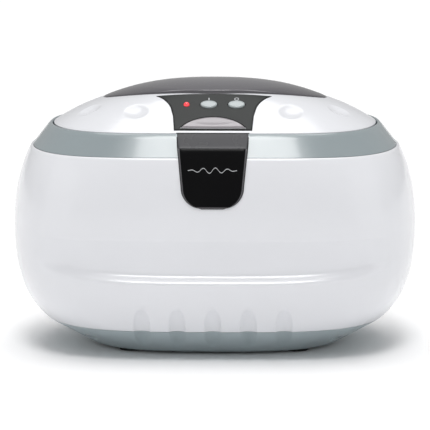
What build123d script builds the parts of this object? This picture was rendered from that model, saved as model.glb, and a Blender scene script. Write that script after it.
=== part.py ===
from build123d import *
import os
from math import copysign, cos, pi, radians, sin, sqrt

# Ultrasonic cleaner with a hinged lid. Millimetres, +Z up, front towards -Y.
# The origin is the middle of the plane that the rubber feet rest on.

# Driving dimensions
WIDTH = 205.0
DEPTH = 142.0
HEIGHT = 136.0
BASE_Z = 1.2        # underside of the base cover, above the feet
SPLIT_Z = 14.8      # line between base cover and body
BELLY_Z = 60.5      # level of the widest section
RIM_Z = 102.9       # line between body and trim ring
SEAM_Z = 114.0      # line between trim ring and lid
CROWN_Z = 132.0     # top of the lid shell, under the window
WALL = 2.4
LID_WALL = 2.2
DECK_Z = 109.0      # ledge round the tank mouth
TANK_TOP = 104.4
TANK_FLOOR = 58.0
HINGE_Y = 60.5
HINGE_Z = 112.5
SLOPE = 31.4        # slope of the lid's front face, in degrees
BUTTON_S = 6.8      # how far up the panel the buttons sit from its middle
FIT = 0.06          # radial clearance of a shaft in its bore
GAP = 0.35          # clearance round a piece that moves

BELLY = WIDTH / 2
NARROWER = (WIDTH - DEPTH) / 2
PANEL = Plane(origin=(0, -40.5, 122.25), x_dir=(1, 0, 0),
              z_dir=(0, -sin(radians(SLOPE)), cos(radians(SLOPE))))


# ---------------------------------------------------------------- sections
def half_sizes(z):
    """Half width, half depth and squareness of the outer skin at height z."""
    if z < SPLIT_Z:
        drop = SPLIT_Z - z
        a = 86.3 - 1.62 * drop - 0.006 * drop ** 2
        return a, a - 29 + 5.5 * (drop / SPLIT_Z) ** 2, 3 + 0.7 * z / SPLIT_Z
    if z < BELLY_Z:
        u = (BELLY_Z - z) / BELLY_Z
        low = (BELLY_Z - z) / (BELLY_Z - SPLIT_Z)
        a = BELLY * (1 - 0.165 * u ** 2 - 0.26 * u ** 5)
        return a, a - NARROWER + 2.5 * low ** 2, 5 - 1.3 * low ** 2
    u = (z - BELLY_Z) / (RIM_Z - BELLY_Z)
    a = BELLY - 8.8 * u ** 2.45
    return a, a - NARROWER + 2 * u ** 2, 5


def oval(a, b, p, z, inward=0.0):
    """Closed outline |x/a|^p + (y/b)^2 = 1; inward dents its front and back."""
    count = 36
    pts = []
    for i in range(count):
        turn = 2 * pi * i / count
        x = a * sin(turn)
        y = -b * copysign(sqrt(max(0, 1 - abs(sin(turn)) ** p)), cos(turn))
        fade = 1 - min(1, max(0, (abs(x) - 55) / 33))
        dent = inward * fade ** 2 * (3 - 2 * fade)
        pts.append((x, y - copysign(min(dent, abs(y)), y), z))
    return Wire([Edge.make_spline(pts, periodic=True)])


def stack(sections):
    """Solid with straight walls between stacked outlines."""
    return Solid.make_loft([oval(*s) for s in sections], ruled=True)


def groove_depth(z):
    """Depth of the finger groove: a ledge at its foot and a long slope above."""
    if z <= 42.4 or z >= 62.6:
        return 0.0
    if z <= 47:
        return 3.1 * (z - 42.4) / 4.6
    return 3.2 * (1 - ((z - 48.5) / 14.1) ** 2)


def skin(levels, inset=0.0):
    """Solid bounded by the outer skin at these levels, pulled in by inset."""
    rows = []
    for z in levels:
        a, b, p = half_sizes(z)
        rows.append((a - inset, b - inset, p, z, groove_depth(z)))
    return stack(rows)


def block(x0, x1, y0, y1, z0, z1):
    return Pos((x0 + x1) / 2, (y0 + y1) / 2, (z0 + z1) / 2) * Box(x1 - x0, y1 - y0, z1 - z0)


def rod(x, y, z0, z1, r):
    return Pos(x, y, (z0 + z1) / 2) * Cylinder(r, z1 - z0)


def rod_x(x0, x1, y, z, r):
    return Pos((x0 + x1) / 2, y, z) * Rot(0, 90, 0) * Cylinder(r, x1 - x0)


def rod_y(x, y0, y1, z, r):
    return Pos(x, (y0 + y1) / 2, z) * Rot(90, 0, 0) * Cylinder(r, y1 - y0)


def join(pieces):
    total = pieces[0]
    for piece in pieces[1:]:
        total = total + piece
    return total


def on_panel(face, low, high):
    """Prism over a flat outline drawn on the panel, between two heights."""
    return extrude(PANEL.offset(low) * face, amount=high - low, dir=PANEL.z_dir)


# ---------------------------------------------------------------- lid surface
def dome(drop=0.0, inset=0.0, bottom=SEAM_Z):
    """Solid under the lid's outer surface, lowered by drop and pulled in by inset."""
    rows = []
    for z in (SEAM_Z, 115.5, 117.5, 120, 122.5, 125, 127.3, 129.3, 130.6, 131.4):
        a = 82 * ((CROWN_Z - z) / (CROWN_Z - SEAM_Z)) ** 0.33
        b = 54 - (z - SEAM_Z) / sin(radians(SLOPE)) * cos(radians(SLOPE))
        p = 5 - 2.2 * ((z - SEAM_Z) / (CROWN_Z - SEAM_Z)) ** 6
        rows.append((a - inset, b - inset, p, z - drop))
    cap = stack(rows)
    skirt = stack([(82 - inset, 54 - inset, 5, bottom), (82 - inset, 54 - inset, 5, SEAM_Z - drop)])
    return cap + skirt


def ellipse_prism(a, b, z0, z1):
    return Pos(0, 0, z0) * extrude(Ellipse(a, b), amount=z1 - z0)


# ---------------------------------------------------------------- outlines
def mirrored_outline(right, plane):
    """Face between points on the right, their mirror images and two level edges."""
    with BuildSketch(plane) as sketch:
        with BuildLine():
            Spline(*right)
            Line(right[-1], (-right[-1][0], right[-1][1]))
            Spline(*[(-x, y) for x, y in reversed(right)])
            Line((-right[0][0], right[0][1]), right[0])
        make_face()
    return sketch.sketch


def tongue_outline(grow=0.0):
    """Front view of the tongue: straight flared sides and a rounded foot."""
    right = [(17.7, 113.0), (17.0, 107.0), (16.1, 99), (15.5, 91.5), (14.6, 86.8), (13.5, 84.6),
             (11.9, 82.8), (8.9, 80.4), (5.3, 78.9)]
    right = [(x + grow, z - grow) for x, z in right]
    return extrude(mirrored_outline(right, Plane.XZ), amount=80)


def tongue_slab(front, back):
    """Slab that follows the front of ring and body, between two offsets in y."""
    levels = (78, 84, 90, 96, RIM_Z)
    line = [(half_sizes(z)[1], z) for z in levels] + [(62.2, 107.5), (57.3, 112.6)]
    with BuildSketch(Plane.YZ) as sketch:
        with BuildLine():
            Polyline(*[(-y - front, z) for y, z in line])
            Line((-line[-1][0] - front, line[-1][1]), (-line[-1][0] + back, line[-1][1]))
            Polyline(*[(-y + back, z) for y, z in reversed(line)])
            Line((-line[0][0] + back, line[0][1]), (-line[0][0] - front, line[0][1]))
        make_face()
    return extrude(sketch.sketch, amount=25, both=True)


def panel_face(grow=0.0):
    """Control panel outline, on the panel plane: waisted sides, wide top edge."""
    right = [(28.3, 15.4), (24.2, 11.4), (21.0, 5.0), (19.6, -2.0), (18.8, -11.4)]
    right = [(x + grow, y + copysign(grow, y)) for x, y in right]
    return mirrored_outline(right, Plane.XY)


def crescent_face(shrink=0.0):
    """Release button outline: an arched top edge over a nearly straight foot."""
    half, foot, top = 16.4 - 1.6 * shrink, -11.0 + shrink, -1.7 - shrink
    with BuildSketch() as sketch:
        with BuildLine():
            ThreePointArc((-half, foot), (0, top), (half, foot))
            ThreePointArc((half, foot), (0, foot - 0.4), (-half, foot))
        make_face()
    return sketch.sketch


def button_face(x, shrink=0.0):
    return Pos(x, BUTTON_S) * Ellipse(4.2 - shrink, 2.85 - shrink)


BUTTON_X = {"on_button": -2.4, "off_button": 11.4}
LED_X = -13.5
POSTS = [(x, y) for x in (-62, 62) for y in (-30, 30)]
RING_BOSSES = [(x, y) for x in (-60, 60) for y in (-50, 50)]
FEET = [(x, y) for x in (-42, 42) for y in (-25, 25)]
STANDOFFS = [(x, y) for x in (-72, -30) for y in (-20, 20)]
CATCH_Z = 112.0       # middle of the lid catch's nose
PIN_X, PIN_Z = 4.2, 32.0
FLUTE_PITCH = 17.6
FLUTE_Y, FLUTE_Z, FLUTE_RADIUS, FLUTE_LEAN = -59.2, 16.6, 5.2, 38
VENT_PITCH = 6.0


# ---------------------------------------------------------------- housing
def flute_cutters():
    """Five shallow upright flutes low on the front."""
    lean = Rot(FLUTE_LEAN, 0, 0)
    return [Pos(FLUTE_PITCH * i, FLUTE_Y, FLUTE_Z) * lean * Cylinder(FLUTE_RADIUS, 60) for i in range(-2, 3)]


def make_body_shell():
    levels = (SPLIT_Z, 18, 22, 27, 34, 42.4, 47, 50, 54, 58, 62.6, 70, 78, 85, 91, 97, RIM_Z)
    core = skin((20, 30, 45, 60, 80, 96), 1.0)
    inside = []
    for x, y in POSTS:
        side = copysign(1, x)
        rib = block(*sorted((x, x + side * 40)), y - 1.5, y + 1.5, 24, 40)
        inside.append(rod(x, y, 14.6, 40, 4.5))
        inside.append(rib & core)
    for x, y in RING_BOSSES:
        inside.append(block(x - 6, x + 6, *sorted((y * 0.88, y * 1.6)), 86, 90) & core)
    inside.append(block(-14, 14, 60, 68.2, 22.5, 41.5))
    cuts = flute_cutters()
    cuts += [rod(x, y, 14, 32, 1.5 + FIT) for x, y in POSTS]
    cuts += [rod(x, y, 80, 95, 1.7) for x, y in RING_BOSSES]
    cuts.append(block(-14, 14, 68.2, 80, 22.5, 41.5))
    cuts.append(block(-10.1, 10.1, 55, 75, 25.4, 38.6))
    cuts.append(stack([(91.6, 62.1, 5, 99.4), (92.1, 62.6, 5, 104)]))
    cuts.append(tongue_slab(8, 2.3) & tongue_outline(0.15))
    return skin(levels) - skin(levels, WALL) + inside - cuts


def make_base_cover():
    levels = (BASE_Z, 3.5, 6, 9, 12, SPLIT_Z)
    outer = skin(levels)
    hollow = skin((BASE_Z + 2.4, 6, 9, 12, SPLIT_Z), WALL)
    a, b, p = half_sizes(SPLIT_Z)
    lip = stack([(a - WALL - 0.2, b - WALL - 0.2, p, 13), (a - WALL, b - WALL, p, 18)])
    lip = lip - stack([(a - WALL - 1.8, b - WALL - 1.8, p, 12), (a - WALL - 1.7, b - WALL - 1.7, p, 19)])
    inside = [lip]
    cuts = flute_cutters()
    for x, y in POSTS:
        inside.append(rod(x, y, 3, 14.5, 5.2) & outer)
        cuts += [rod(x, y, -1, 10.5, 3.3), rod(x, y, 0, 20, 1.7), rod(x, y, 14.5, 22, 6.0)]
    for x, y in STANDOFFS:
        inside.append(rod(x, y, 3, 14.6, 3.0) & outer)
        inside.append(rod(x, y, 14.5, 20, 3.0))
        cuts.append(rod(x, y, 12, 21, 1.2 + FIT))
    cuts += [rod(x, y, 0, 2.2, 6.1) for x, y in FEET]
    for i in range(-3, 4):
        cuts.append(Pos(VENT_PITCH * i, 0, 0) * extrude(SlotOverall(26, 2.4, rotation=90), amount=8))
    return outer - hollow + inside - cuts


def make_trim_ring():
    foot = stack([(91.3, 61.8, 5, 99.5), (91.3, 61.8, 5, RIM_Z + 0.1)])
    face = stack([(92.8, 63.3, 5, RIM_Z), (84.5, 56.5, 5, 113.4), (83.7, 55.7, 5, SEAM_Z)])
    under = stack([(88.9, 59.4, 5, 99), (88.9, 59.4, 5, 103), (86.6, 57.6, 5, 106.4)])
    ring = face + foot - [under]
    parts = [rod(x, y, 90, 107, 4.0) for x, y in RING_BOSSES]
    cuts = [stack([(82.6, 54.6, 5, DECK_Z), (82.6, 54.6, 5, 120)])]
    cuts.append(stack([(77, 47, 3.4, 100), (77, 47, 3.4, 112)]))
    cuts += [rod(x, y, 89, 101, 1.5 + FIT) for x, y in RING_BOSSES]
    cuts.append(rod_x(-16, 16, HINGE_Y, HINGE_Z, 4.1))
    cuts.append(block(-8, 8, -55.7, -54, CATCH_Z - 1.2, CATCH_Z + 0.8))
    cuts.append(tongue_slab(8, 2.3) & tongue_outline(0.15))
    ring = ring + parts - cuts
    ears = []
    for x0, x1 in ((-20.4, -16.4), (16.4, 20.4)):
        ears.append(rod_x(x0, x1, HINGE_Y, HINGE_Z, 4.0))
        ears.append(block(x0, x1, 57.5, HINGE_Y + 4, RIM_Z + 0.3, HINGE_Z))
    return ring + ears - rod_x(-23, 23, HINGE_Y, HINGE_Z, 1.5 + FIT)


def make_front_tongue():
    plate = tongue_slab(0.9, 2.2) & tongue_outline()
    for z in (84, 96):
        plate = plate + rod_y(0, -half_sizes(z)[1] + 0.5, -half_sizes(z - 3)[1] + 2.3, z, 3.0)
    return plate


def make_tank():
    rows = [(77.6, 47.6, 3.4, TANK_TOP), (75.2, 45.2, 3.3, 80), (73.2, 43.2, 3.2, TANK_FLOOR)]
    outer = stack(rows)
    inner = stack([(a - 0.8, b - 0.8, p, z + (0.8 if z == TANK_FLOOR else 0)) for a, b, p, z in rows])
    outer = fillet(outer.faces().sort_by(Axis.Z)[0].edges(), 9)
    inner = fillet(inner.faces().sort_by(Axis.Z)[0].edges(), 8.2)
    flange = stack([(82.4, 52.4, 3.8, TANK_TOP - 0.8), (82.4, 52.4, 3.8, TANK_TOP)])
    return outer + flange - inner


def make_tank_gasket():
    band = stack([(81.8, 51.8, 3.8, TANK_TOP), (81.8, 51.8, 3.8, TANK_TOP + 2.0)])
    return band - stack([(77.8, 47.8, 3.4, TANK_TOP - 1), (77.8, 47.8, 3.4, TANK_TOP + 3)])


def make_feet():
    return [rod(x, y, 0, 2.2, 6.0) for x, y in FEET]


def screw(x, y, z_head, length, up=True, r=1.5, head=2.9, head_height=2.1):
    """Pan head screw; its head is under z_head when it points up."""
    way = 1 if up else -1
    ends = sorted((z_head - way * head_height, z_head))
    body = rod(x, y, ends[0], ends[1], head)
    shank = rod(x, y, min(z_head, z_head + way * length), max(z_head, z_head + way * length), r)
    cross = z_head - way * head_height
    slot = block(x - 1.6, x + 1.6, y - 0.4, y + 0.4, cross - 0.9, cross + 0.9)
    slot2 = block(x - 0.4, x + 0.4, y - 1.6, y + 1.6, cross - 0.9, cross + 0.9)
    return body + shank - slot - slot2


def make_power_inlet():
    body = block(-10, 10, 50, 68.2, 25.5, 38.5) + block(-12, 12, 68.2, 69.6, 23.9, 40.1)
    cavity = extrude(Plane.XZ.offset(-72) * Pos(0, PIN_Z) * SlotOverall(13.6, 8.4), amount=15.2)
    holes = [rod_y(x, 45, 60, PIN_Z, 1.2) for x in (-PIN_X, PIN_X)]
    return body - cavity - holes[0] - holes[1]


def make_inlet_pins():
    return [rod_y(x, 44, 66.5, PIN_Z, 1.2) for x in (-PIN_X, PIN_X)]


def make_hinge_pin():
    return rod_x(-21.6, 21.6, HINGE_Y, HINGE_Z, 1.5) + rod_x(20.6, 21.6, HINGE_Y, HINGE_Z, 2.4)


# ---------------------------------------------------------------- transducer
def make_transducer():
    """The stack under the tank: front mass, two rings, tabs, back mass and bolt."""
    top = TANK_FLOOR
    cone = Pos(0, 0, top - 10) * Cone(14.5, 20, 16) + rod(0, 0, top - 2, top, 20)
    front = cone - rod(0, 0, top - 20, top - 8, 4 + FIT)
    z = top - 18
    parts = {"transducer_front_mass": front}
    rings = []
    tabs = []
    for i in range(2):
        rings.append(rod(0, 0, z - 5, z, 15) - rod(0, 0, z - 6, z + 1, 6))
        z -= 5
        tab = rod(0, 0, z - 0.4, z, 15) - rod(0, 0, z - 1, z + 1, 6)
        way = -1 if i == 0 else 1
        ear = block(-21, -14, way * 4 - 2, way * 4 + 2, z - 0.4, z)
        tabs.append(tab + ear)
        z -= 0.4
    parts["piezo_rings"] = rings
    parts["electrode_tabs"] = tabs
    parts["transducer_back_mass"] = rod(0, 0, z - 10, z, 14.5) - rod(0, 0, z - 11, z + 1, 4 + FIT)
    head = extrude(Pos(0, 0, z - 16) * RegularPolygon(7.5, 6), amount=6)
    bolt = head + rod(0, 0, z - 11, top - 9, 4)
    parts["transducer_bolt"] = bolt
    return parts


# ---------------------------------------------------------------- driver board
BOARD_TOP = 21.6
COIL_Y = -9.1


def make_driver_board():
    board = block(-77, -25, -23, 23, 20, BOARD_TOP)
    for x, y in STANDOFFS:
        board = board - rod(x, y, 19, 23, 1.5)
    return board


def make_heatsink():
    z0 = BOARD_TOP
    back = block(-58, -34, 12, 14.5, z0, z0 + 22)
    fins = [block(x, x + 1.2, 14.4, 21.5, z0 + 4, z0 + 22) for x in range(-58, -33, 4)]
    return join([back] + fins)


def make_power_transistor():
    z0 = BOARD_TOP
    case = block(-51, -41, 7.2, 10.7, z0 + 5, z0 + 14) + block(-51, -41, 10.7, 12, z0 + 5, z0 + 20)
    legs = [block(x - 0.4, x + 0.4, 8.6, 9.2, z0, z0 + 5.1) for x in (-48.5, -46, -43.5)]
    return join([case] + legs)


def make_transformer():
    z0 = BOARD_TOP
    core = block(-74, -54, -17, -1.2, z0, z0 + 5) + block(-74, -54, -17, -1.2, z0 + 17, z0 + 22)
    for x in (-74, -58):
        core = core + block(x, x + 4, -17, -1.2, z0 + 4, z0 + 18)
    return core + rod(-64, COIL_Y, z0 + 4, z0 + 18, 3.0)


def make_winding():
    z0 = BOARD_TOP
    coil = rod(-64, COIL_Y, z0 + 5.4, z0 + 16.6, 5.6)
    for z in (z0 + 5.1, z0 + 15.9):
        coil = coil + rod(-64, COIL_Y, z, z + 1, 5.9)
    return coil - rod(-64, COIL_Y, z0, z0 + 20, 3.1)


def make_capacitors():
    z0 = BOARD_TOP
    cans = [rod(x, y, z0, z0 + tall, r)
            for x, y, tall, r in ((-36, -14, 16, 5.2), (-47, -14, 16, 5.2), (-65, 6, 12, 4.0))]
    return [fillet(can.edges().sort_by(Axis.Z)[-1], 0.8) for can in cans]


def make_fuse():
    z = BOARD_TOP + 5
    glass = rod_y(-73, 0, 17, z, 2.3)
    return glass + rod_y(-73, -0.6, 4.4, z, 2.6) + rod_y(-73, 12.4, 17.4, z, 2.6)


def make_fuse_clips():
    z0 = BOARD_TOP
    clips = []
    for y in (2.0, 15.0):
        clip = block(-76, -70, y - 1.5, y + 1.5, z0, z0 + 6.4)
        seat = rod_y(-73, y - 2, y + 2, z0 + 5, 2.6 + FIT)
        mouth = block(-75, -71, y - 2, y + 2, z0 + 5, z0 + 8)
        clips.append(clip - seat - mouth)
    return clips


def make_connectors():
    z0 = BOARD_TOP
    shells = []
    for y in (-5, 4):
        shell = block(-33, -27, y - 4, y + 4, z0, z0 + 8)
        shells.append(shell - block(-32, -28, y - 3, y + 3, z0 + 2, z0 + 9))
    return shells


# ---------------------------------------------------------------- wiring
def wire(points, radius):
    """Round insulated lead: straight runs joined by tangent arcs."""
    points = [Vector(*p) for p in points]
    radii = []
    for before, corner, after in zip(points, points[1:], points[2:]):
        into = corner - before
        out = after - corner
        turn = radians(into.get_angle(out))
        shorter = min(into.length, out.length)
        radii.append(0.45 * shorter / (sin(turn / 2) / cos(turn / 2)))
    path = FilletPolyline(*points, radius=radii) if len(radii) else Line(*points)
    return sweep(Plane(path @ 0, z_dir=path % 0) * Circle(radius), path=path)


def make_mains_leads():
    leads = []
    for side in (-1, 1):
        x, level, end = PIN_X * side, PIN_Z + 0.5 + 1.6 * side, -65 - 3 * side
        route = [(x, 43.9, PIN_Z), (x, 38, PIN_Z), (x - 8, 31, level - 0.5), (-30, 23.9, level),
                 (-57, 23.9, level), (end, 19.4, 30 + side), (end, 17, 26), (end, 17, BOARD_TOP + 0.05)]
        leads.append(wire(route, 1.2))
    return leads


def make_transducer_leads():
    leads = []
    for side, y in ((-1, -4), (1, 4)):
        z = TANK_FLOOR - 18 - (5.0 if side < 0 else 10.4) - 0.2
        peak = max(z + 1, 33)
        route = [(-21.02, y, z), (-23.5, y, z), (-26.5, y, peak), (-30, y * 1.1, peak),
                 (-30, y * 1.1, BOARD_TOP + 2.1)]
        leads.append(wire(route, 0.8))
    return leads


def make_lid_lead():
    """Lead from the driver board up the rear wall, ending under the deck beside the hinge."""
    route = [(-30, 9.8, BOARD_TOP + 0.05), (-30, 9.8, 26), (-30, 14, 33), (-18, 28, 44), (-20, 54, 50),
             (-24, 58, 66), (-26, 57, 86), (-26.5, 54.9, 98), (-26.5, 54.9, 106.3)]
    return wire(route, 1.3)


# ---------------------------------------------------------------- lid
LID_FLOOR = 110.6
DISHES = ((38.5, 37.8, 123.0, 30, 6), (62.6, 23, 122.0, 26, 22))     # place and lean of each dish
DISH_RADIUS, DISH_DEPTH = 18.0, 1.1


def panel_holes(low, high):
    cuts = [on_panel(button_face(x, -GAP), low, high) for x in BUTTON_X.values()]
    cuts.append(on_panel(Pos(LED_X, BUTTON_S) * Circle(1.6), low, high))
    cuts.append(on_panel(crescent_face(-GAP), low, high))
    return cuts


def panel_shift(depth):
    n = PANEL.z_dir
    return Pos(-n.X * depth, -n.Y * depth, -n.Z * depth)


def make_lid_shell():
    hollow = dome(drop=LID_WALL, inset=LID_WALL, bottom=LID_FLOOR - 1)
    barrel = rod_x(-15.6, 15.6, HINGE_Y, HINGE_Z, 3.7)
    tab = block(-15, 15, 46, HINGE_Y, 114.7, 116.2)
    cuts = [hollow, ellipse_prism(50.5, 20.5, 118, 140)]
    cuts.append(on_panel(panel_face(0.12), -6, 6) - (panel_shift(1.3) * dome()))
    cuts += panel_holes(-8, 6)
    cuts.append(block(-6.5, 6.5, -56, -49, LID_FLOOR - 1, CATCH_Z + 0.9))
    for x, y, z, lean_x, lean_y in DISHES:
        for side in (-1, 1):
            for end in (-1, 1):
                place = Pos(side * x, end * y, z) * Rot(-end * lean_x, side * lean_y, 0)
                cuts.append(place * Pos(0, 0, DISH_RADIUS - DISH_DEPTH) * Sphere(DISH_RADIUS))
    cuts.append(rod_x(-20, 20, HINGE_Y, HINGE_Z, 1.5 + FIT))
    return dome(bottom=LID_FLOOR) + [tab, barrel] - cuts


def window_cap(drop=0.0, inset=0.0):
    """Solid under the window's outer surface."""
    rows = []
    for z in (122, 125, 128, 130.5, 132.5, 133.7, 134.7, 135.4, 135.85):
        a = 57 * ((HEIGHT - z) / 9.5) ** 0.4
        over = (HEIGHT - z) / 3.5
        b = 27 * sqrt(over) if over < 1 else 27 + (132.5 - z) * 1.64
        rows.append((a - inset, b - inset, 2.2, z - drop))
    top = stack(rows)
    lid = stack([(rows[-1][0], rows[-1][1], 2.2, rows[-1][3]), (2.0, 1.0, 2.2, HEIGHT - drop)])
    return top + lid


def make_window():
    glass = window_cap() & ellipse_prism(57, 27, 120, 140)
    glass = glass - dome(bottom=100)
    hollow = window_cap(drop=2.2) & ellipse_prism(50, 20, 110, 140)
    return glass - hollow


def make_control_panel():
    skin_band = dome() - [panel_shift(1.2) * dome(bottom=100)]
    return (skin_band & on_panel(panel_face(), -6, 6)) - panel_holes(-8, 6)


def make_lid_liner():
    plate = stack([(79.4, 51.2, 5, LID_FLOOR), (79.4, 51.2, 5, LID_FLOOR + 1.4)])
    plate = plate - ellipse_prism(48, 18, 100, 120) - block(-7, 7, -56, -44.6, LID_FLOOR - 1, LID_FLOOR + 3)
    funnel = ellipse_prism(49.8, 19.8, LID_FLOOR, 131) - ellipse_prism(48, 18, 100, 140)
    return plate + (funnel & dome(drop=LID_WALL + 0.3, inset=LID_WALL, bottom=LID_FLOOR))


def make_lid_seal():
    bead = stack([(79.0, 48.8, 5, LID_FLOOR - 1.1), (79.0, 48.8, 5, LID_FLOOR)])
    return bead - stack([(77.6, 47.4, 5, 105), (77.6, 47.4, 5, 112)])


def make_button(x):
    cap = on_panel(button_face(x), -4.2, 1.2)
    cap = fillet(cap.faces().sort_by(Axis.Z)[-1].edges(), 0.6)
    flange = on_panel(button_face(x, -1.3), -4.6, -3.8)
    stem = on_panel(Pos(x, BUTTON_S) * Circle(1.5), -5.2, -4.5)
    return cap + flange + stem


def make_release_button():
    face = on_panel(crescent_face(), -3.6, 0.9)
    face = chamfer(face.faces().sort_by(Axis.Z)[-1].edges(), 0.7)
    dish = PANEL.offset(0.9) * Pos(0, -6.5, 38.9) * Sphere(39.4)
    hook = block(-6, 6, -48.1, -46.4, CATCH_Z - 0.3, 114.5)
    nose = block(-5, 5, -53.2, -48.0, CATCH_Z - 0.3, CATCH_Z + 0.5)
    return face - dish + hook + nose - on_panel(Pos(0, -6) * Circle(2.0), -5, -2.6)


def make_release_spring():
    coils = Helix(pitch=1.3, height=4.6, radius=1.45)
    helix = sweep(Plane(coils @ 0, z_dir=coils % 0) * Circle(0.22), path=coils)
    return PANEL.offset(-7.4) * Pos(0, -6, 0) * helix


def make_led():
    return on_panel(Pos(LED_X, BUTTON_S) * Circle(1.5), -5.6, 0.1) + (
        PANEL.offset(0.1) * Pos(LED_X, BUTTON_S, 0) * (Sphere(1.5) - Pos(0, 0, -5) * Box(10, 10, 10)))


def make_switch_board():
    board = on_panel(Pos(-1, BUTTON_S + 1.5) * Rectangle(42, 13), -12.2, -10.8)
    return board & dome(drop=LID_WALL + 0.4, inset=LID_WALL + 0.4)


def make_tact_switches():
    switches = []
    for x in BUTTON_X.values():
        case = on_panel(Pos(x, BUTTON_S) * Rectangle(6, 6), -10.8, -7.4)
        switches.append(case + on_panel(Pos(x, BUTTON_S) * Circle(1.6), -7.5, -6.3))
    return switches


# ---------------------------------------------------------------- writing
def write(name, shape):
    solids = []
    for piece in shape if isinstance(shape, list) else [shape]:
        solids.extend(piece.solids())
    result = solids[0] if len(solids) == 1 else Compound(children=solids)
    result.label = name
    export_step(result, f"parts/{name}.step")
    print(name, len(solids))


def main():
    os.makedirs("parts", exist_ok=True)
    write("body_shell", make_body_shell())
    write("base_cover", make_base_cover())
    write("trim_ring", make_trim_ring())
    write("front_tongue", make_front_tongue())
    write("tank", make_tank())
    write("tank_gasket", make_tank_gasket())
    write("rubber_feet", make_feet())
    write("base_screws", [screw(x, y, 10.5, 20) for x, y in POSTS])
    write("deck_screws", [screw(x, y, 86, 14) for x, y in RING_BOSSES])
    write("board_screws", [screw(x, y, BOARD_TOP, 8, up=False, r=1.2, head=2.4) for x, y in STANDOFFS])
    write("hinge_pin", make_hinge_pin())
    write("power_inlet", make_power_inlet())
    write("inlet_pins", make_inlet_pins())
    for name, shape in make_transducer().items():
        write(name, shape)
    write("driver_board", make_driver_board())
    write("heatsink", make_heatsink())
    write("power_transistor", make_power_transistor())
    write("transformer_core", make_transformer())
    write("transformer_winding", make_winding())
    write("capacitors", make_capacitors())
    write("fuse", make_fuse())
    write("fuse_clips", make_fuse_clips())
    write("connectors", make_connectors())
    write("mains_leads", make_mains_leads())
    write("transducer_leads", make_transducer_leads())
    write("lid_lead", make_lid_lead())
    write("lid_shell", make_lid_shell())
    write("window", make_window())
    write("control_panel", make_control_panel())
    write("lid_liner", make_lid_liner())
    write("lid_seal", make_lid_seal())
    for name, x in BUTTON_X.items():
        write(name, make_button(x))
    write("release_button", make_release_button())
    write("release_spring", make_release_spring())
    write("led", make_led())
    write("switch_board", make_switch_board())
    write("tact_switches", make_tact_switches())


main()
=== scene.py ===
from math import cos, pi, radians, sin, tan

import bpy
import numpy as np
from mathutils import Matrix, Vector


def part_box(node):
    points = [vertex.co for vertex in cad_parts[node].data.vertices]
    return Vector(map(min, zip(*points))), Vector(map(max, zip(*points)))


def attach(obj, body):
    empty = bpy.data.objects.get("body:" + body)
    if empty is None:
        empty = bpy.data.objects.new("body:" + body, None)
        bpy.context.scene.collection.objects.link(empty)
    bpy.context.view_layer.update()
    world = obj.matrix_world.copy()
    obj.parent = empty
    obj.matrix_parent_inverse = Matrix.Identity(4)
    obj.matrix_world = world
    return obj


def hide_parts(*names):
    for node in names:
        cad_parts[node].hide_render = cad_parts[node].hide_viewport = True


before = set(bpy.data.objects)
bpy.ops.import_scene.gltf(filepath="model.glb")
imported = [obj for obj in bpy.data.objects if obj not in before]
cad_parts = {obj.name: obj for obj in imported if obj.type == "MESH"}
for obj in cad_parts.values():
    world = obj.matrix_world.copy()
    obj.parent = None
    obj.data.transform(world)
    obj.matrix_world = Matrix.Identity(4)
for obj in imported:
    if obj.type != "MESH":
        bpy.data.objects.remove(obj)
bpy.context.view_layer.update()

# ---------------------------------------------------------------- sizes
# Work is in millimetres; MM turns them into the metres of the frame.
MM = 0.001


def low_of(node):
    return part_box(node)[0] / MM


def high_of(node):
    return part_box(node)[1] / MM


BELLY = high_of("body_shell").x                 # half width at the widest section
NARROWER = BELLY - high_of("body_shell").y      # how much less the half depth is
RIM_Z = high_of("body_shell").z
SPLIT_Z = RIM_Z - 88.1                          # line between base and body
BELLY_Z = RIM_Z - 42.4
BASE_Z = low_of("base_cover").z
SEAM_Z = RIM_Z + 11.1                           # line between ring and lid
CROWN_Z = SEAM_Z + 18.0
TOP_Z = high_of("window").z
DECK_Z = RIM_Z + 6.1
LID_FLOOR = low_of("lid_liner").z
TANK_FLOOR = low_of("tank").z
WALL = 2.4
LID_WALL = 2.2
DOME_A, DOME_B = 82.0, 54.0                     # half sizes of the lid at the seam
WINDOW_A, WINDOW_B = high_of("window").x, high_of("window").y
HINGE_Y = (low_of("hinge_pin").y + high_of("hinge_pin").y) / 2
HINGE_Z = (low_of("hinge_pin").z + high_of("hinge_pin").z) / 2
SLOPE = radians(31.4)                           # slope of the lid's front
PANEL_MIDDLE = Vector((0, -40.5, 122.25))
PANEL_UP = Vector((0, cos(SLOPE), sin(SLOPE)))
PANEL_OUT = Vector((0, -sin(SLOPE), cos(SLOPE)))
BUTTON_S = 6.8
BUTTON_X = {"on_button": -2.4, "off_button": 11.4}
LED_X = -13.5
PANEL_FOOT, PANEL_TOP = -13.2, 15.4             # ends of the control panel up its slope
FOOT_X, FOOT_Y = 42, 25
FOOT_HEIGHT = 2.2
POST_X, POST_Y = 62, 30
VENT_PITCH = 6.0
PIN_BORE = 1.56


# ---------------------------------------------------------------- choosing
def choose_nothing():
    if bpy.context.mode != "OBJECT":
        bpy.ops.object.mode_set(mode="OBJECT")
    bpy.ops.object.select_all(action="DESELECT")


def choose(obj):
    choose_nothing()
    obj.select_set(True)
    bpy.context.view_layer.objects.active = obj


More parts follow.
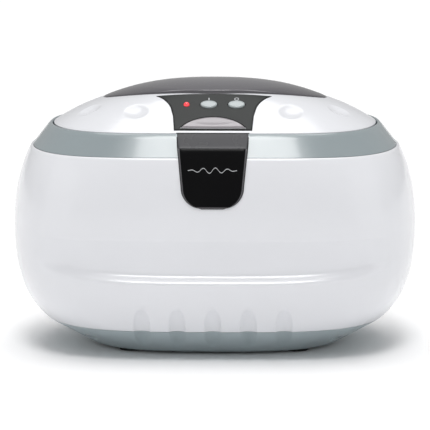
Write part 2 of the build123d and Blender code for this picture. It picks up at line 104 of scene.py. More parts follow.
def pick(obj, kind, test):
    """In edit mode, selects the faces or edges whose middle passes the test."""
    bpy.ops.mesh.select_mode(type=kind)
    bpy.ops.mesh.select_all(action="DESELECT")
    bpy.ops.object.mode_set(mode="OBJECT")
    mesh = obj.data
    if kind == "FACE":
        for face in mesh.polygons:
            face.select = bool(test(face.center / MM, face.normal))
    else:
        for edge in mesh.edges:
            a, b = (mesh.vertices[i].co / MM for i in edge.vertices)
            edge.select = bool(test((a + b) / 2, (b - a).normalized()))
    bpy.ops.object.mode_set(mode="EDIT")


def apply_modifiers(obj):
    choose(obj)
    for modifier in list(obj.modifiers):
        bpy.ops.object.modifier_apply(modifier=modifier.name)


def round_edges(obj, width, segments=2, angle=30):
    bevel = obj.modifiers.new("rounding", "BEVEL")
    bevel.width = width * MM
    bevel.segments = segments
    bevel.limit_method = "ANGLE"
    bevel.angle_limit = radians(angle)
    apply_modifiers(obj)


def carve(obj, cutters):
    """Cuts each cutter out of a piece and throws the cutter away."""
    for cutter in cutters:
        boolean = obj.modifiers.new("carve", "BOOLEAN")
        boolean.operation = "DIFFERENCE"
        boolean.solver = "EXACT"
        boolean.object = cutter
        apply_modifiers(obj)
        bpy.data.objects.remove(cutter)


def place_piece(obj, matrix):
    """Moves a piece by its mesh, so that its object stays at the origin."""
    obj.data.transform(matrix)
    obj.data.update()


def on_panel(x, s, height=0.0):
    """Matrix that stands a piece made at the origin up on the panel."""
    turn = Matrix((Vector((1, 0, 0)), PANEL_UP, PANEL_OUT)).transposed().to_4x4()
    at = PANEL_MIDDLE + x * Vector((1, 0, 0)) + s * PANEL_UP + height * PANEL_OUT
    return Matrix.Translation(at * MM) @ turn


def settle(obj):
    """Writes an object's own place and turn into its mesh."""
    choose(obj)
    bpy.ops.object.transform_apply(location=True, rotation=True, scale=True)
    return obj


def block(middle, size):
    """Cube primitive at its place and size."""
    choose_nothing()
    bpy.ops.mesh.primitive_cube_add(size=1, location=Vector(middle) * MM, scale=Vector(size) * MM)
    return settle(bpy.context.object)


def rod(middle, radius, length, along="Z", sides=48):
    """Cylinder primitive at its place and size, lying along an axis."""
    turn = {"X": (0, pi / 2, 0), "Y": (pi / 2, 0, 0), "Z": (0, 0, 0)}[along]
    choose_nothing()
    bpy.ops.mesh.primitive_cylinder_add(vertices=sides, radius=radius * MM, depth=length * MM, rotation=turn,
                                        location=Vector(middle) * MM)
    return settle(bpy.context.object)


def finished(obj, name, body, finish, replaces=(), angle=35):
    settle(obj)
    obj.name = name
    obj.data.name = name
    obj.data.materials.clear()
    obj.data.materials.append(finish)
    bpy.ops.object.shade_smooth_by_angle(angle=radians(angle))
    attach(obj, body)
    if replaces:
        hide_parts(*replaces)
    return obj


def joined(pieces):
    choose_nothing()
    for piece in pieces:
        piece.select_set(True)
    bpy.context.view_layer.objects.active = pieces[0]
    bpy.ops.object.join()
    return pieces[0]


def copied(obj, matrix):
    twin = obj.copy()
    twin.data = obj.data.copy()
    bpy.context.scene.collection.objects.link(twin)
    place_piece(twin, matrix)
    return twin


def laid_grid(name, turns, rows, place, capped=(False, False), ring=False):
    """A grid primitive laid over a shell.

    Its columns go round at the angles in turns, its rows follow the shell's profile, and
    place(turns, row) gives the points of one row. capped closes the first or last row with
    a face; ring joins the last row to the first, as on a hollow ring.
    """
    choose_nothing()
    across, along = len(turns) + 1, len(rows)
    bpy.ops.mesh.primitive_grid_add(x_subdivisions=across - 1, y_subdivisions=along - 1, size=1)
    obj = bpy.context.object
    obj.name = name
    if len(obj.data.vertices) != across * along:
        raise RuntimeError("the grid primitive has another count of vertices")
    closed = np.append(turns, turns[0])
    points = np.array([np.stack(place(closed, row), axis=1) for row in rows]) * MM
    obj.data.vertices.foreach_set("co", points.reshape(-1).astype(np.float32))
    obj.data.update()
    bpy.ops.object.mode_set(mode="EDIT")
    bpy.ops.mesh.select_all(action="SELECT")
    bpy.ops.mesh.remove_doubles(threshold=1e-6)
    if ring:
        bpy.ops.mesh.select_mode(type="EDGE")
        bpy.ops.mesh.select_all(action="DESELECT")
        bpy.ops.mesh.select_non_manifold(extend=False, use_boundary=True)
        bpy.ops.mesh.bridge_edge_loops()
    for cap, z_row in zip(capped, (rows[0], rows[-1])):
        if cap:
            level = np.mean(place(turns, z_row)[2])
            wide = np.max(place(turns, z_row)[0]) + 0.01
            bpy.ops.mesh.select_all(action="DESELECT")
            pick(obj, "EDGE", lambda m, d: abs(m.z - level) < 0.02 and abs(m.x) < wide and abs(d.z) < 0.1)
            bpy.ops.mesh.edge_face_add()
    bpy.ops.mesh.select_all(action="SELECT")
    bpy.ops.mesh.normals_make_consistent(inside=False)
    bpy.ops.object.mode_set(mode="OBJECT")
    return obj


def laid_sheet(name, rows, across, place, thickness, outward):
    """A grid primitive laid over an open sheet, then thickened inwards.

    place(shares, row) gives the points of one row, whose shares run from -1 to 1.
    """
    choose_nothing()
    bpy.ops.mesh.primitive_grid_add(x_subdivisions=across - 1, y_subdivisions=len(rows) - 1, size=1)
    sheet = bpy.context.object
    sheet.name = name
    shares = np.linspace(-1, 1, across)
    points = np.array([np.stack(place(shares, row), axis=1) for row in rows]) * MM
    sheet.data.vertices.foreach_set("co", points.reshape(-1).astype(np.float32))
    sheet.data.update()
    if sheet.data.polygons[0].normal.dot(Vector(outward)) < 0:
        bpy.ops.object.mode_set(mode="EDIT")
        bpy.ops.mesh.select_all(action="SELECT")
        bpy.ops.mesh.flip_normals()
        bpy.ops.object.mode_set(mode="OBJECT")
    solid = sheet.modifiers.new("thickness", "SOLIDIFY")
    solid.thickness, solid.offset = thickness * MM, -1.0
    apply_modifiers(sheet)
    return sheet


# ---------------------------------------------------------------- sections
def half_sizes(z):
    """Half width, half depth and squareness of the outer skin at height z."""
    if z < SPLIT_Z:
        drop = SPLIT_Z - z
        a = 86.3 - 1.62 * drop - 0.006 * drop ** 2
        return a, a - 29 + 5.5 * (drop / SPLIT_Z) ** 2, 3 + 0.7 * z / SPLIT_Z
    if z < BELLY_Z:
        u = (BELLY_Z - z) / BELLY_Z
        low = (BELLY_Z - z) / (BELLY_Z - SPLIT_Z)
        a = BELLY * (1 - 0.165 * u ** 2 - 0.26 * u ** 5)
        return a, a - NARROWER + 2.5 * low ** 2, 5 - 1.3 * low ** 2
    u = (z - BELLY_Z) / (RIM_Z - BELLY_Z)
    a = BELLY - 8.8 * u ** 2.45
    return a, a - NARROWER + 2 * u ** 2, 5


def oval(turns, a, b, p):
    """Points of the outline |x/a|^p + (y/b)^2 = 1, counted from the front."""
    s, c = np.sin(turns), np.cos(turns)
    y = -b * np.copysign(np.sqrt(np.maximum(0.0, 1 - np.abs(s) ** p)), c)
    return a * s, y


def smooth_step(x, low, high):
    t = np.clip((x - low) / (high - low), 0.0, 1.0)
    return t * t * (3 - 2 * t)


GROOVE_FOOT, GROOVE_BED, GROOVE_TOP, GROOVE_DEPTH = SPLIT_Z + 25.4, SPLIT_Z + 31.0, SPLIT_Z + 47.8, 4.4
FLUTE_PITCH, FLUTE_Z = 17.6, 16.4
FLUTE_HALF_WIDTH, FLUTE_HALF_HEIGHT, FLUTE_DEPTH = 4.1, 11.6, 2.3


def dent(x, y, z):
    """Depth of the finger groove and the flutes at points of the skin.

    The groove's ledge climbs towards both ends, where the groove runs out.
    """
    climb = 5.0 * np.clip(np.abs(x) / 86, 0, 1) ** 3
    rise = smooth_step(z, GROOVE_FOOT + climb, GROOVE_BED + climb)
    fall = 1 - np.clip((z - GROOVE_BED) / (GROOVE_TOP - GROOVE_BED), 0, 1) ** 2.1
    depth = GROOVE_DEPTH * rise * fall * (1 - smooth_step(np.abs(x), 72, 91))
    nearest = np.clip(np.round(x / FLUTE_PITCH), -2, 2) * FLUTE_PITCH
    fill = 1 - ((x - nearest) / FLUTE_HALF_WIDTH) ** 2 - abs((z - FLUTE_Z) / FLUTE_HALF_HEIGHT) ** 3
    return depth + np.where(y < 0, FLUTE_DEPTH * np.maximum(0.0, fill) ** 0.7, 0.0)


def skin(turns, z, inset=0.0):
    """Points of the housing's skin at height z, pulled in by inset."""
    a, b, p = half_sizes(z)
    x, y = oval(turns, a - inset, b - inset, p)
    return x, y - np.copysign(np.minimum(dent(x, y, z), np.abs(y)), y), np.full_like(x, z)


def dome_height(x, y):
    """Height of the lid's outer surface over points of the plan."""
    low, high = np.full_like(x, SEAM_Z - 8.0), np.full_like(x, CROWN_Z - 0.01)
    for _ in range(40):
        z = (low + high) / 2
        a = DOME_A * np.maximum((CROWN_Z - z) / (CROWN_Z - SEAM_Z), 1e-6) ** 0.33
        b = np.maximum(DOME_B - (z - SEAM_Z) / tan(SLOPE), 1e-3)
        p = 5 - 2.2 * np.clip((z - SEAM_Z) / (CROWN_Z - SEAM_Z), 0, 1) ** 6
        inside = np.abs(x / a) ** p + (y / b) ** 2 < 1
        low, high = np.where(inside, z, low), np.where(inside, high, z)
    return low


def window_height(x, y):
    """Height of the window's outer surface over points of the plan."""
    low, high = np.full_like(x, TOP_Z - 16.0), np.full_like(x, TOP_Z)
    for _ in range(40):
        z = (low + high) / 2
        a = WINDOW_A * np.maximum((TOP_Z - z) / 9.5, 1e-7) ** 0.4
        over = (TOP_Z - z) / 3.5
        b = np.where(over < 1, WINDOW_B * np.sqrt(np.maximum(over, 1e-9)), WINDOW_B + 3.5 * (over - 1) * 1.64)
        inside = np.abs(x / a) ** 2.2 + (y / b) ** 2 < 1
        low, high = np.where(inside, z, low), np.where(inside, high, z)
    return low


def even_turns(count):
    return np.arange(count) * 2 * pi / count


def front_fine_turns():
    """Angles that put columns 0.7 mm apart over the flutes and wider elsewhere."""
    fine = np.arcsin(np.linspace(-0.5, 0.5, 144))
    side = np.linspace(pi / 6, 5 * pi / 6, 82)[1:-1]
    back = np.linspace(5 * pi / 6, 7 * pi / 6, 36)
    return np.concatenate([fine, side, back, side + pi])


# ---------------------------------------------------------------- materials
class Signal:
    """A shader socket that takes part in Python sums; each sum adds a Math node."""

    def __init__(self, finish, socket):
        self.finish, self.socket = finish, socket

    def maths(self, operation, first, second=0.0, clamp=False):
        made = self.finish.node("ShaderNodeMath", dict(operation=operation, use_clamp=clamp),
                                {0: first, 1: second})
        return Signal(self.finish, made.outputs[0])

    def __add__(self, other): return self.maths("ADD", self, other)
    def __radd__(self, other): return self.maths("ADD", other, self)
    def __sub__(self, other): return self.maths("SUBTRACT", self, other)
    def __rsub__(self, other): return self.maths("SUBTRACT", other, self)
    def __mul__(self, other): return self.maths("MULTIPLY", self, other)
    def __rmul__(self, other): return self.maths("MULTIPLY", other, self)

    def held(self): return self.maths("ADD", self, 0.0, clamp=True)


class Finish:
    """The node tree of one material, round one Principled shader."""

    def __init__(self, name, **constants):
        self.material = bpy.data.materials.new(name)
        self.material.use_nodes = True
        self.tree = self.material.node_tree
        self.shader = self.tree.nodes["Principled BSDF"]
        for socket, value in constants.items():
            self.shader.inputs[socket.replace("_", " ")].default_value = value

    def node(self, kind, settings=None, values=None):
        """Adds a node: first its settings, then the values or links of its sockets."""
        made = self.tree.nodes.new(kind)
        for key, value in (settings or {}).items():
            setattr(made, key, value)
        for key, value in (values or {}).items():
            if isinstance(value, Signal):
                self.tree.links.new(value.socket, made.inputs[key])
            else:
                made.inputs[key].default_value = value
        return made

    def signal(self, kind, output, settings=None, values=None):
        return Signal(self, self.node(kind, settings, values).outputs[output])

    def coords(self, stretch=(1, 1, 1)):
        place = self.signal("ShaderNodeTexCoord", "Object")
        if stretch == (1, 1, 1):
            return place
        return self.signal("ShaderNodeMapping", 0, None, {"Vector": place, "Scale": stretch})

    def noise(self, scale, detail=2.0, stretch=(1, 1, 1), roughness=0.5):
        return self.signal("ShaderNodeTexNoise", 0, None, {
            "Vector": self.coords(stretch), "Scale": scale, "Detail": detail, "Roughness": roughness})

    def axis(self, name):
        return self.signal("ShaderNodeSeparateXYZ", name, None, {0: self.coords()})

    def mix(self, share, first, second):
        """Mixes two colours, given as tuples or signals."""
        return self.signal("ShaderNodeMix", 2, dict(data_type="RGBA"), {0: share, 6: first, 7: second})

    def feed(self, socket, value):
        self.tree.links.new(value.socket, self.shader.inputs[socket])

    def bump(self, height, strength, distance):
        self.feed("Normal", self.signal("ShaderNodeBump", 0, None, {
            "Height": height, "Strength": strength, "Distance": distance}))


def rgb(r, g, b):
    """Colour from screen values of 0 to 255."""
    def linear(v):
        v /= 255
        return v / 12.92 if v <= 0.04045 else ((v + 0.055) / 1.055) ** 2.4
    return linear(r), linear(g), linear(b), 1.0


def moulded(name, colour, shade, roughness=0.2, wear=0.08, grain=900, depth=0.00002, strength=0.1,
            **constants):
    """Moulded plastic: faint clouding, handling marks in the gloss and a fine surface."""
    finish = Finish(name, Roughness=roughness, **constants)
    cloud = finish.noise(14, 3)
    finish.feed("Base Color", finish.mix(((cloud - 0.35) * 1.8).held(), colour, shade))
    marks = finish.noise(60, 3, roughness=0.6)
    finish.feed("Roughness", marks * wear + roughness)
    finish.bump(finish.noise(grain, 2), strength, depth)
    return finish.material


def brushed(name, colour, shade, stretch, roughness=0.25, scale=60):
    """Metal with fine lines along one direction."""
    finish = Finish(name, Metallic=1.0)
    lines = finish.noise(scale, 4, stretch, 0.7)
    stain = finish.noise(22, 3)
    finish.feed("Base Color", finish.mix((stain * 0.5 + lines * 0.5).held(), colour, shade))
    finish.feed("Roughness", lines * 0.16 + roughness)
    finish.bump(lines, 0.12, 0.00005)
    return finish.material


def cast(name, colour, shade, scale, roughness):
    """Grainy surface of cast, sintered or fired pieces."""
    finish = Finish(name)
    grain = finish.noise(scale, 4, roughness=0.7)
    finish.feed("Base Color", finish.mix(((grain - 0.3) * 1.8).held(), colour, shade))
    finish.feed("Roughness", grain * 0.25 + roughness - 0.1)
    finish.bump(grain, 0.3, 0.00008)
    return finish.material


def circuit_board(name):
    """Green lacquer over copper tracks that run in two directions."""
    finish = Finish(name, Roughness=0.35)
    place = finish.coords()
    tracks = finish.signal("ShaderNodeTexBrick", "Fac", dict(offset=0.37, squash=1.0), {
        "Vector": place, "Scale": 160.0, "Mortar Size": 0.06, "Brick Width": 0.9, "Row Height": 0.35})
    lacquer = finish.mix(finish.noise(40, 3), rgb(18, 92, 52), rgb(26, 116, 66))
    finish.feed("Base Color", finish.mix(tracks * 0.7, lacquer, rgb(96, 150, 84)))
    finish.bump(tracks, 0.25, 0.00004)
    return finish.material


def smoked(name):
    """Smoked clear plastic: dark and glossy, a little lighter towards its crown through a painted sky
    reflection.
    """
    finish = Finish(name, Roughness=0.16, Coat_Weight=0.3, Coat_Roughness=0.05)
    # crown paints a sky reflection: the window's colour lightens over its top 8 mm.
    crown = ((finish.axis("Z") - (TOP_Z - 8) * MM) * (1 / (8 * MM))).held()
    haze = finish.noise(26, 3)
    tint_and_painted_reflection = finish.mix((crown * 0.7 + haze * 0.2).held(), rgb(72, 70, 74), rgb(104, 102, 107))
    finish.feed("Base Color", tint_and_painted_reflection)
    finish.feed("Roughness", finish.noise(90, 3) * 0.06 + 0.1)
    finish.bump(finish.noise(500, 2), 0.04, 0.00002)
    return finish.material


def lamp_red(name):
    finish = Finish(name, Roughness=0.12, Emission_Strength=0.7, Coat_Weight=0.8)
    glow = finish.noise(700, 2)
    red = finish.mix((glow * 1.4 - 0.2).held(), rgb(226, 30, 38), rgb(240, 84, 92))
    finish.feed("Base Color", red)
    finish.feed("Emission Color", red)
    return finish.material


WHITE = moulded("white gloss plastic", rgb(229, 230, 234), rgb(225, 226, 230), 0.2, 0.06,
                Coat_Weight=0.2, Coat_Roughness=0.08)
RING_GREY = moulded("grey green gloss plastic", rgb(146, 156, 159), rgb(138, 148, 152), 0.2, 0.08,
                    Coat_Weight=0.3, Coat_Roughness=0.08)
BASE_GREY = moulded("slate gloss plastic", rgb(170, 182, 186), rgb(164, 176, 180), 0.3, 0.04,
                    Coat_Weight=0.1, Coat_Roughness=0.15)
PANEL_GREY = moulded("dark satin plastic", rgb(36, 39, 38), rgb(31, 34, 33), 0.36, 0.1, 1500, 0.00003, 0.2,
                     Specular_IOR_Level=0.22)
PIANO_BLACK = moulded("piano black plastic", rgb(16, 16, 17), rgb(13, 13, 14), 0.12, 0.05,
                      Specular_IOR_Level=0.06)
# Lighter grey for the tongue's tilted top, which is the same black gloss plastic as its face: a painted sky
# reflection.
TONGUE_TOP_PAINTED_REFLECTION = moulded("tongue top black plastic with painted reflection", rgb(60, 60, 63), rgb(54, 54, 57), 0.24, 0.06,
                      Specular_IOR_Level=0.25)
# Lighter grey border round the tongue's face: a painted highlight on its rounded edge.
TONGUE_EDGE_PAINTED_HIGHLIGHT = moulded("tongue edge painted highlight", rgb(88, 87, 90), rgb(78, 77, 80), 0.2, 0.06)
# Black for sheets set behind gaps, where they show as a painted shadow line.
GAP_PAINTED_SHADOW = moulded("painted gap shadow", rgb(14, 14, 14), rgb(8, 8, 8), 0.7, 0.1)
BUTTON_GREY = moulded("pale grey cap plastic", rgb(168, 176, 177), rgb(160, 168, 169), 0.26, 0.08,
                      Coat_Weight=0.4, Coat_Roughness=0.06)
RELEASE_GREY = moulded("pale satin cap plastic", rgb(164, 159, 163), rgb(155, 150, 154), 0.26, 0.1,
                       Coat_Weight=0.3, Coat_Roughness=0.1)
MARK_GREY = moulded("print grey", rgb(190, 192, 194), rgb(176, 178, 181), 0.5, 0.1)
LINER_WHITE = moulded("liner plastic", rgb(224, 226, 228), rgb(214, 216, 220), 0.38, 0.1, 700, 0.00005, 0.2)
INLET_BLACK = moulded("matt black plastic", rgb(30, 30, 31), rgb(22, 22, 23), 0.55, 0.1, 1200, 0.00008, 0.4)
NYLON = moulded("natural nylon", rgb(226, 220, 200), rgb(212, 205, 184), 0.42, 0.1)
SLEEVE_BLUE = moulded("sleeve plastic", rgb(32, 42, 84), rgb(24, 32, 68), 0.25, 0.1)
TAPE_YELLOW = moulded("winding tape", rgb(214, 178, 60), rgb(196, 158, 44), 0.35, 0.15, 400, 0.0002, 0.4)
WIRE_BLACK = moulded("black insulation", rgb(34, 34, 36), rgb(26, 26, 28), 0.42, 0.12, 800, 0.00008, 0.3)
WIRE_RED = moulded("red insulation", rgb(170, 28, 30), rgb(150, 20, 24), 0.4, 0.12, 800, 0.00008, 0.3)
RUBBER = cast("black rubber", rgb(30, 30, 31), rgb(20, 20, 21), 900, 0.7)
SEAL = cast("grey seal rubber", rgb(104, 106, 108), rgb(88, 90, 93), 700, 0.62)
FERRITE = cast("ferrite", rgb(60, 60, 63), rgb(42, 42, 45), 500, 0.5)
CERAMIC = cast("piezo ceramic", rgb(176, 158, 128), rgb(156, 138, 108), 600, 0.45)
ALLOY = brushed("turned alloy", rgb(206, 208, 212), rgb(180, 183, 188), (1, 1, 14), 0.28)
DRAWN_STEEL = brushed("drawn steel", rgb(204, 205, 207), rgb(176, 178, 182), (1, 1, 9), 0.2, 80)
SCREW_STEEL = brushed("zinc plated steel", rgb(188, 189, 194), rgb(160, 162, 168), (1, 1, 5), 0.3, 300)
PIN_STEEL = brushed("ground steel", rgb(198, 199, 201), rgb(170, 172, 176), (16, 1, 1), 0.22, 300)
BRASS = brushed("plated brass", rgb(214, 186, 120), rgb(190, 160, 96), (1, 8, 1), 0.25, 300)
COPPER = brushed("copper sheet", rgb(214, 142, 104), rgb(184, 112, 78), (1, 1, 1), 0.3, 300)
TIN = brushed("tinned sheet", rgb(214, 214, 212), rgb(186, 186, 184), (1, 1, 1), 0.25, 300)
BOARD = circuit_board("circuit board")
# Smoked window colour with a painted sky reflection towards its crown.
SMOKED = smoked("smoked window plastic with painted reflection")
LAMP = lamp_red("red lamp plastic")
GLASS = moulded("fuse glass", rgb(206, 216, 214), rgb(190, 202, 200), 0.08, 0.05,
                Coat_Weight=0.6, Coat_Roughness=0.02)


# ---------------------------------------------------------------- camera, light and floor
def camera():
    data = bpy.data.cameras.new("camera")
    data.lens, data.sensor_width = 240.0, 36.0
    data.clip_end = 20.0
    seat = bpy.data.objects.new("camera", data)
    bpy.context.scene.collection.objects.link(seat)
    turn, distance, height, aim = radians(1.1), 1455.0, 287.3, Vector((0, 0, 65.1))
    eye = Vector((distance * sin(turn), -distance * cos(turn), height))
    seat.location = eye * MM
    seat.rotation_euler = (aim - eye).to_track_quat("-Z", "Y").to_euler()
    bpy.context.scene.camera = seat


def lamp_from(name, kind, direction, energy, **settings):
    """Light that shines along a direction, from 1.2 m away."""
    data = bpy.data.lights.new(name, kind)
    data.energy = energy
    for key, value in settings.items():
        setattr(data, key, value)
    light = bpy.data.objects.new(name, data)
    bpy.context.scene.collection.objects.link(light)
    light.location = Vector(direction).normalized() * -1.2
    light.rotation_euler = Vector(direction).to_track_quat("-Z", "Y").to_euler()


def studio():
    world = bpy.data.worlds.new("studio")
    bpy.context.scene.world = world
    world.use_nodes = True
    world.node_tree.nodes["Background"].inputs["Color"].default_value = (1.0, 1.0, 1.0, 1.0)
    world.node_tree.nodes["Background"].inputs["Strength"].default_value = 0.4
    lamp_from("overhead", "SUN", (0.0, -0.14, -1.0), 1.4, angle=radians(45))
    lamp_from("front", "SUN", (0.0, 0.5, -1.0), 0.95, angle=radians(16))
    lamp_from("left panel", "AREA", (0.9, 0.35, -0.2), 1.3, shape="RECTANGLE", size=0.9, size_y=0.9)
    lamp_from("right panel", "AREA", (-0.9, 0.35, -0.2), 1.3, shape="RECTANGLE", size=0.9, size_y=0.9)
    choose_nothing()
    bpy.ops.mesh.primitive_plane_add(size=16)
    floor = bpy.context.object
    floor.name = "floor"
    paper = Finish("floor paper", Roughness=0.9)
    fibre = paper.noise(6, 3)
    paper.feed("Base Color", paper.mix(fibre * 0.4, rgb(252, 252, 252), rgb(248, 248, 249)))
    floor.data.materials.append(paper.material)
    look = bpy.context.scene.view_settings
    look.view_transform, look.look = "Standard", "None"


# ---------------------------------------------------------------- housing
def profile_rows(levels, inset=0.0):
    return [(z, inset) for z in levels]


def skin_row(turns, row):
    """Points of the skin for a row given as (height, inset)."""
    return skin(turns, *row)


def body_shell():
    """White body: outer skin with its groove and flutes, rounded rim lip, inner wall."""
    outer = [(SPLIT_Z + 0.05, 0.45), (SPLIT_Z + 0.12, 0.14), (SPLIT_Z + 0.4, 0.0)]
    outer += profile_rows(np.arange(SPLIT_Z + 1.1, GROOVE_FOOT - 13, 0.8))
    outer += profile_rows(np.arange(GROOVE_FOOT - 13, GROOVE_FOOT - 1.4, 1.8))
    outer += profile_rows(np.arange(GROOVE_FOOT - 1.2, GROOVE_TOP + 2, 0.6))
    outer += profile_rows(np.arange(GROOVE_TOP + 3, RIM_Z - 1.5, 2.2))
    lip = [(RIM_Z - 0.9, 0.0), (RIM_Z - 0.45, 0.08), (RIM_Z - 0.15, 0.3), (RIM_Z, 0.65), (RIM_Z - 0.1, 1.0)]
    inner = profile_rows(np.arange(RIM_Z - 1.0, SPLIT_Z + 1, -5.5), WALL) + [(SPLIT_Z + 0.05, WALL)]
    shell = laid_grid("body", front_fine_turns(), outer + lip + inner, skin_row, ring=True)
    low, high = low_of("power_inlet"), high_of("power_inlet")
    carve(shell, [block((0, 64, (low.z + high.z) / 2), (20.2, 30, 13.2))])
    return finished(shell, "white_body", "housing", WHITE, ["body_shell"])


def vent_slot(x):
    slot = block((x, 0, 3), (2.4, 26, 8))
    bpy.ops.object.mode_set(mode="EDIT")
    pick(slot, "EDGE", lambda m, d: abs(d.z) > 0.9)
    bpy.ops.mesh.bevel(offset=1.19 * MM, segments=6, affect="EDGES")
    bpy.ops.object.mode_set(mode="OBJECT")
    return slot


def base_cover():
    """Grey bowl with its vents, screw recesses and foot pockets."""
    outer = [(BASE_Z + 0.01, 1.4), (BASE_Z + 0.15, 0.6), (BASE_Z + 0.6, 0.1)]
    outer += profile_rows(np.arange(BASE_Z + 1.2, SPLIT_Z - 0.5, 0.8))
    outer += [(SPLIT_Z - 0.35, 0.0), (SPLIT_Z - 0.12, 0.14), (SPLIT_Z - 0.05, 0.45), (SPLIT_Z - 0.05, 2.6)]
    inner = profile_rows(np.arange(SPLIT_Z - 1.5, BASE_Z + 3.2, -2.4), 2.6) + [(BASE_Z + 2.4, 4.0)]
    bowl = laid_grid("bowl", front_fine_turns(), outer + inner, skin_row, (True, True))
    corners = [(x, y) for x in (-1, 1) for y in (-1, 1)]
    pockets = [rod((x * FOOT_X, y * FOOT_Y, FOOT_HEIGHT / 2), 6.1, FOOT_HEIGHT, sides=40) for x, y in corners]
    recesses = [rod((x * POST_X, y * POST_Y, 4.5), 3.3, 12, sides=32) for x, y in corners]
    carve(bowl, pockets + recesses)
    carve(bowl, [vent_slot(VENT_PITCH * i) for i in range(-3, 4)])
    return finished(bowl, "grey_base", "housing", BASE_GREY, ["base_cover"])


def level_oval(turns, row):
    """Points of a level outline given as (half width, half depth, squareness, height)."""
    a, b, p, z = row
    x, y = oval(turns, a, b, p)
    return x, y, np.full_like(x, z)


def ring_rows():
    """Section of the trim ring as (half width, half depth, squareness, height)."""
    rows = [(91.3, 61.8, 5, 99.5), (91.3, 61.8, 5, RIM_Z), (92.6, 63.1, 5, RIM_Z + 0.02)]
    for t in (0.015, 0.2, 0.4, 0.6, 0.8, 0.97):
        rows.append((92.8 - 8.3 * t, 63.3 - 6.8 * t, 5, RIM_Z + 10.5 * t))
    rows += [(84.0, 56.0, 5, SEAM_Z - 0.25), (83.7, 55.7, 5, SEAM_Z - 0.04), (83.35, 55.35, 5, SEAM_Z),
             (82.95, 54.95, 5, SEAM_Z - 0.12), (82.7, 54.7, 5, SEAM_Z - 0.45), (82.6, 54.6, 5, SEAM_Z - 1),
             (82.6, 54.6, 5, DECK_Z + 1.2), (82.4, 54.4, 5, DECK_Z + 0.4), (81.6, 53.6, 5, DECK_Z + 0.02),
             (78.2, 48.2, 3.6, DECK_Z), (77.4, 47.4, 3.4, DECK_Z - 0.25), (77.0, 47.0, 3.4, DECK_Z - 1.0),
             (77.0, 47.0, 3.4, DECK_Z - 4.6), (86.0, 57.0, 5, DECK_Z - 4.6), (88.9, 59.4, 5, 103.0),
             (88.9, 59.4, 5, 99.5)]
    return rows


def trim_ring():
    """Sloping ring round the lid, with its deck, hinge ears and catch slot."""
    ring = laid_grid("ring", even_turns(360), ring_rows(), level_oval, ring=True)
    barrel_room = rod((0, HINGE_Y, HINGE_Z), 4.1, 32, "X")
    catch_slot = block((0, -55.2, 111.2), (16, 2.2, 2.4))
    carve(ring, [barrel_room, catch_slot])
    finished(ring, "trim_ring_shell", "housing", RING_GREY, ["trim_ring"])
    for x, name in ((-18.4, "hinge_ear_left"), (18.4, "hinge_ear_right")):
        finished(hinge_ear(x), name, "housing", RING_GREY)


def hinge_ear(x):
    """Rounded ear with the pin's bore, standing on the ring's slope."""
    ear = rod((x, HINGE_Y, HINGE_Z), 4, 4, "X")
    bpy.ops.object.mode_set(mode="EDIT")
    pick(ear, "FACE", lambda m, n: n.z < -0.3 and abs(n.x) < 0.5)
    bpy.ops.mesh.extrude_region_move(TRANSFORM_OT_translate={"value": (0, 0, -6.5 * MM)})
    bpy.ops.transform.resize(value=(1, 1, 0), center_override=Vector((x, HINGE_Y, HINGE_Z - 8.6)) * MM)
    bpy.ops.object.mode_set(mode="OBJECT")
    carve(ear, [rod((x, HINGE_Y, HINGE_Z), PIN_BORE, 8, "X", 32)])
    round_edges(ear, 0.35, 2, 40)
    return ear


def tank():
    """Drawn steel tank: flange, straight wall, rounded foot and flat floor."""
    half = high_of("tank")
    top = half.z
    rows = [(half.x, half.y, 3.8, top - 0.8), (half.x, half.y, 3.8, top), (78.2, 48.2, 3.5, top),
            (77.2, 47.2, 3.4, top - 0.3), (76.8, 46.8, 3.4, top - 1.4)]
    drop = top - 11.4 - TANK_FLOOR
    rows += [(76.4 - 4 * t, 46.4 - 4 * t, 3.4, top - 1.4 - t * drop) for t in (0.25, 0.5, 0.75, 1)]
    rows += [(72.4 - 9 * (1 - cos(q)), 42.4 - 9 * (1 - cos(q)), 3.3, TANK_FLOOR + 9.8 - 9 * sin(q))
             for q in np.linspace(0.15, pi / 2, 9)]
    rows += [(40.0, 20.0, 2.6, TANK_FLOOR + 0.8)]
    outer = [(a + 0.8, b + 0.8, p, z) for a, b, p, z in rows[4:-1]]
    outer = [(a, b, p, z - 0.8 * min(1, max(0, (TANK_FLOOR + 9 - z) / 9))) for a, b, p, z in outer]
    wall = [(40.0, 20.0, 2.6, TANK_FLOOR)] + outer[::-1] + [(77.6, 47.6, 3.4, top - 0.8)] + rows
    vessel = laid_grid("tank", even_turns(288), wall, level_oval, (True, True))
    return finished(vessel, "steel_tank", "housing", DRAWN_STEEL, ["tank"])


def tongue_half_width(z, grow=0.0):
    """Half width of the front tongue at height z: flared top, straight flanks, round foot."""
    straight = np.interp(z, [89.0, 97, 107, 113], [15.1, 15.9, 16.9, 17.6])
    foot = 4.9 + 10.2 * np.sqrt(np.clip(1 - ((89.0 - z) / 10.1) ** 2, 0, 1))
    return np.where(z < 89.0, foot, straight) + grow


def tongue_depth(z):
    """How far in front of the middle plane the tongue's face is at height z."""
    body = half_sizes(min(z, RIM_Z))[1] + 0.9
    if z <= RIM_Z:
        return body
    crease = RIM_Z + 4.6
    foot, edge, top = half_sizes(RIM_Z)[1] + 0.9, 62.9, 58.0
    if z <= crease:
        return foot + (edge - foot) * (z - RIM_Z) / (crease - RIM_Z)
    return edge + (top - edge) * (z - crease) / (112.3 - crease)


def tongue_plate(name, levels, grow, proud, thickness, finish, replaces=(), edge=0.3):
    """Blade that follows the housing's front between its first and last level."""
    def place(shares, z):
        half = float(tongue_half_width(z, grow))
        return half * shares, np.full_like(shares, -tongue_depth(z) - proud), np.full_like(shares, z)
    plate = laid_sheet(name, levels, 33, place, thickness, (0, -1, 0))
    round_edges(plate, edge, 3, 50)
    return finished(plate, name, "housing", finish, replaces)


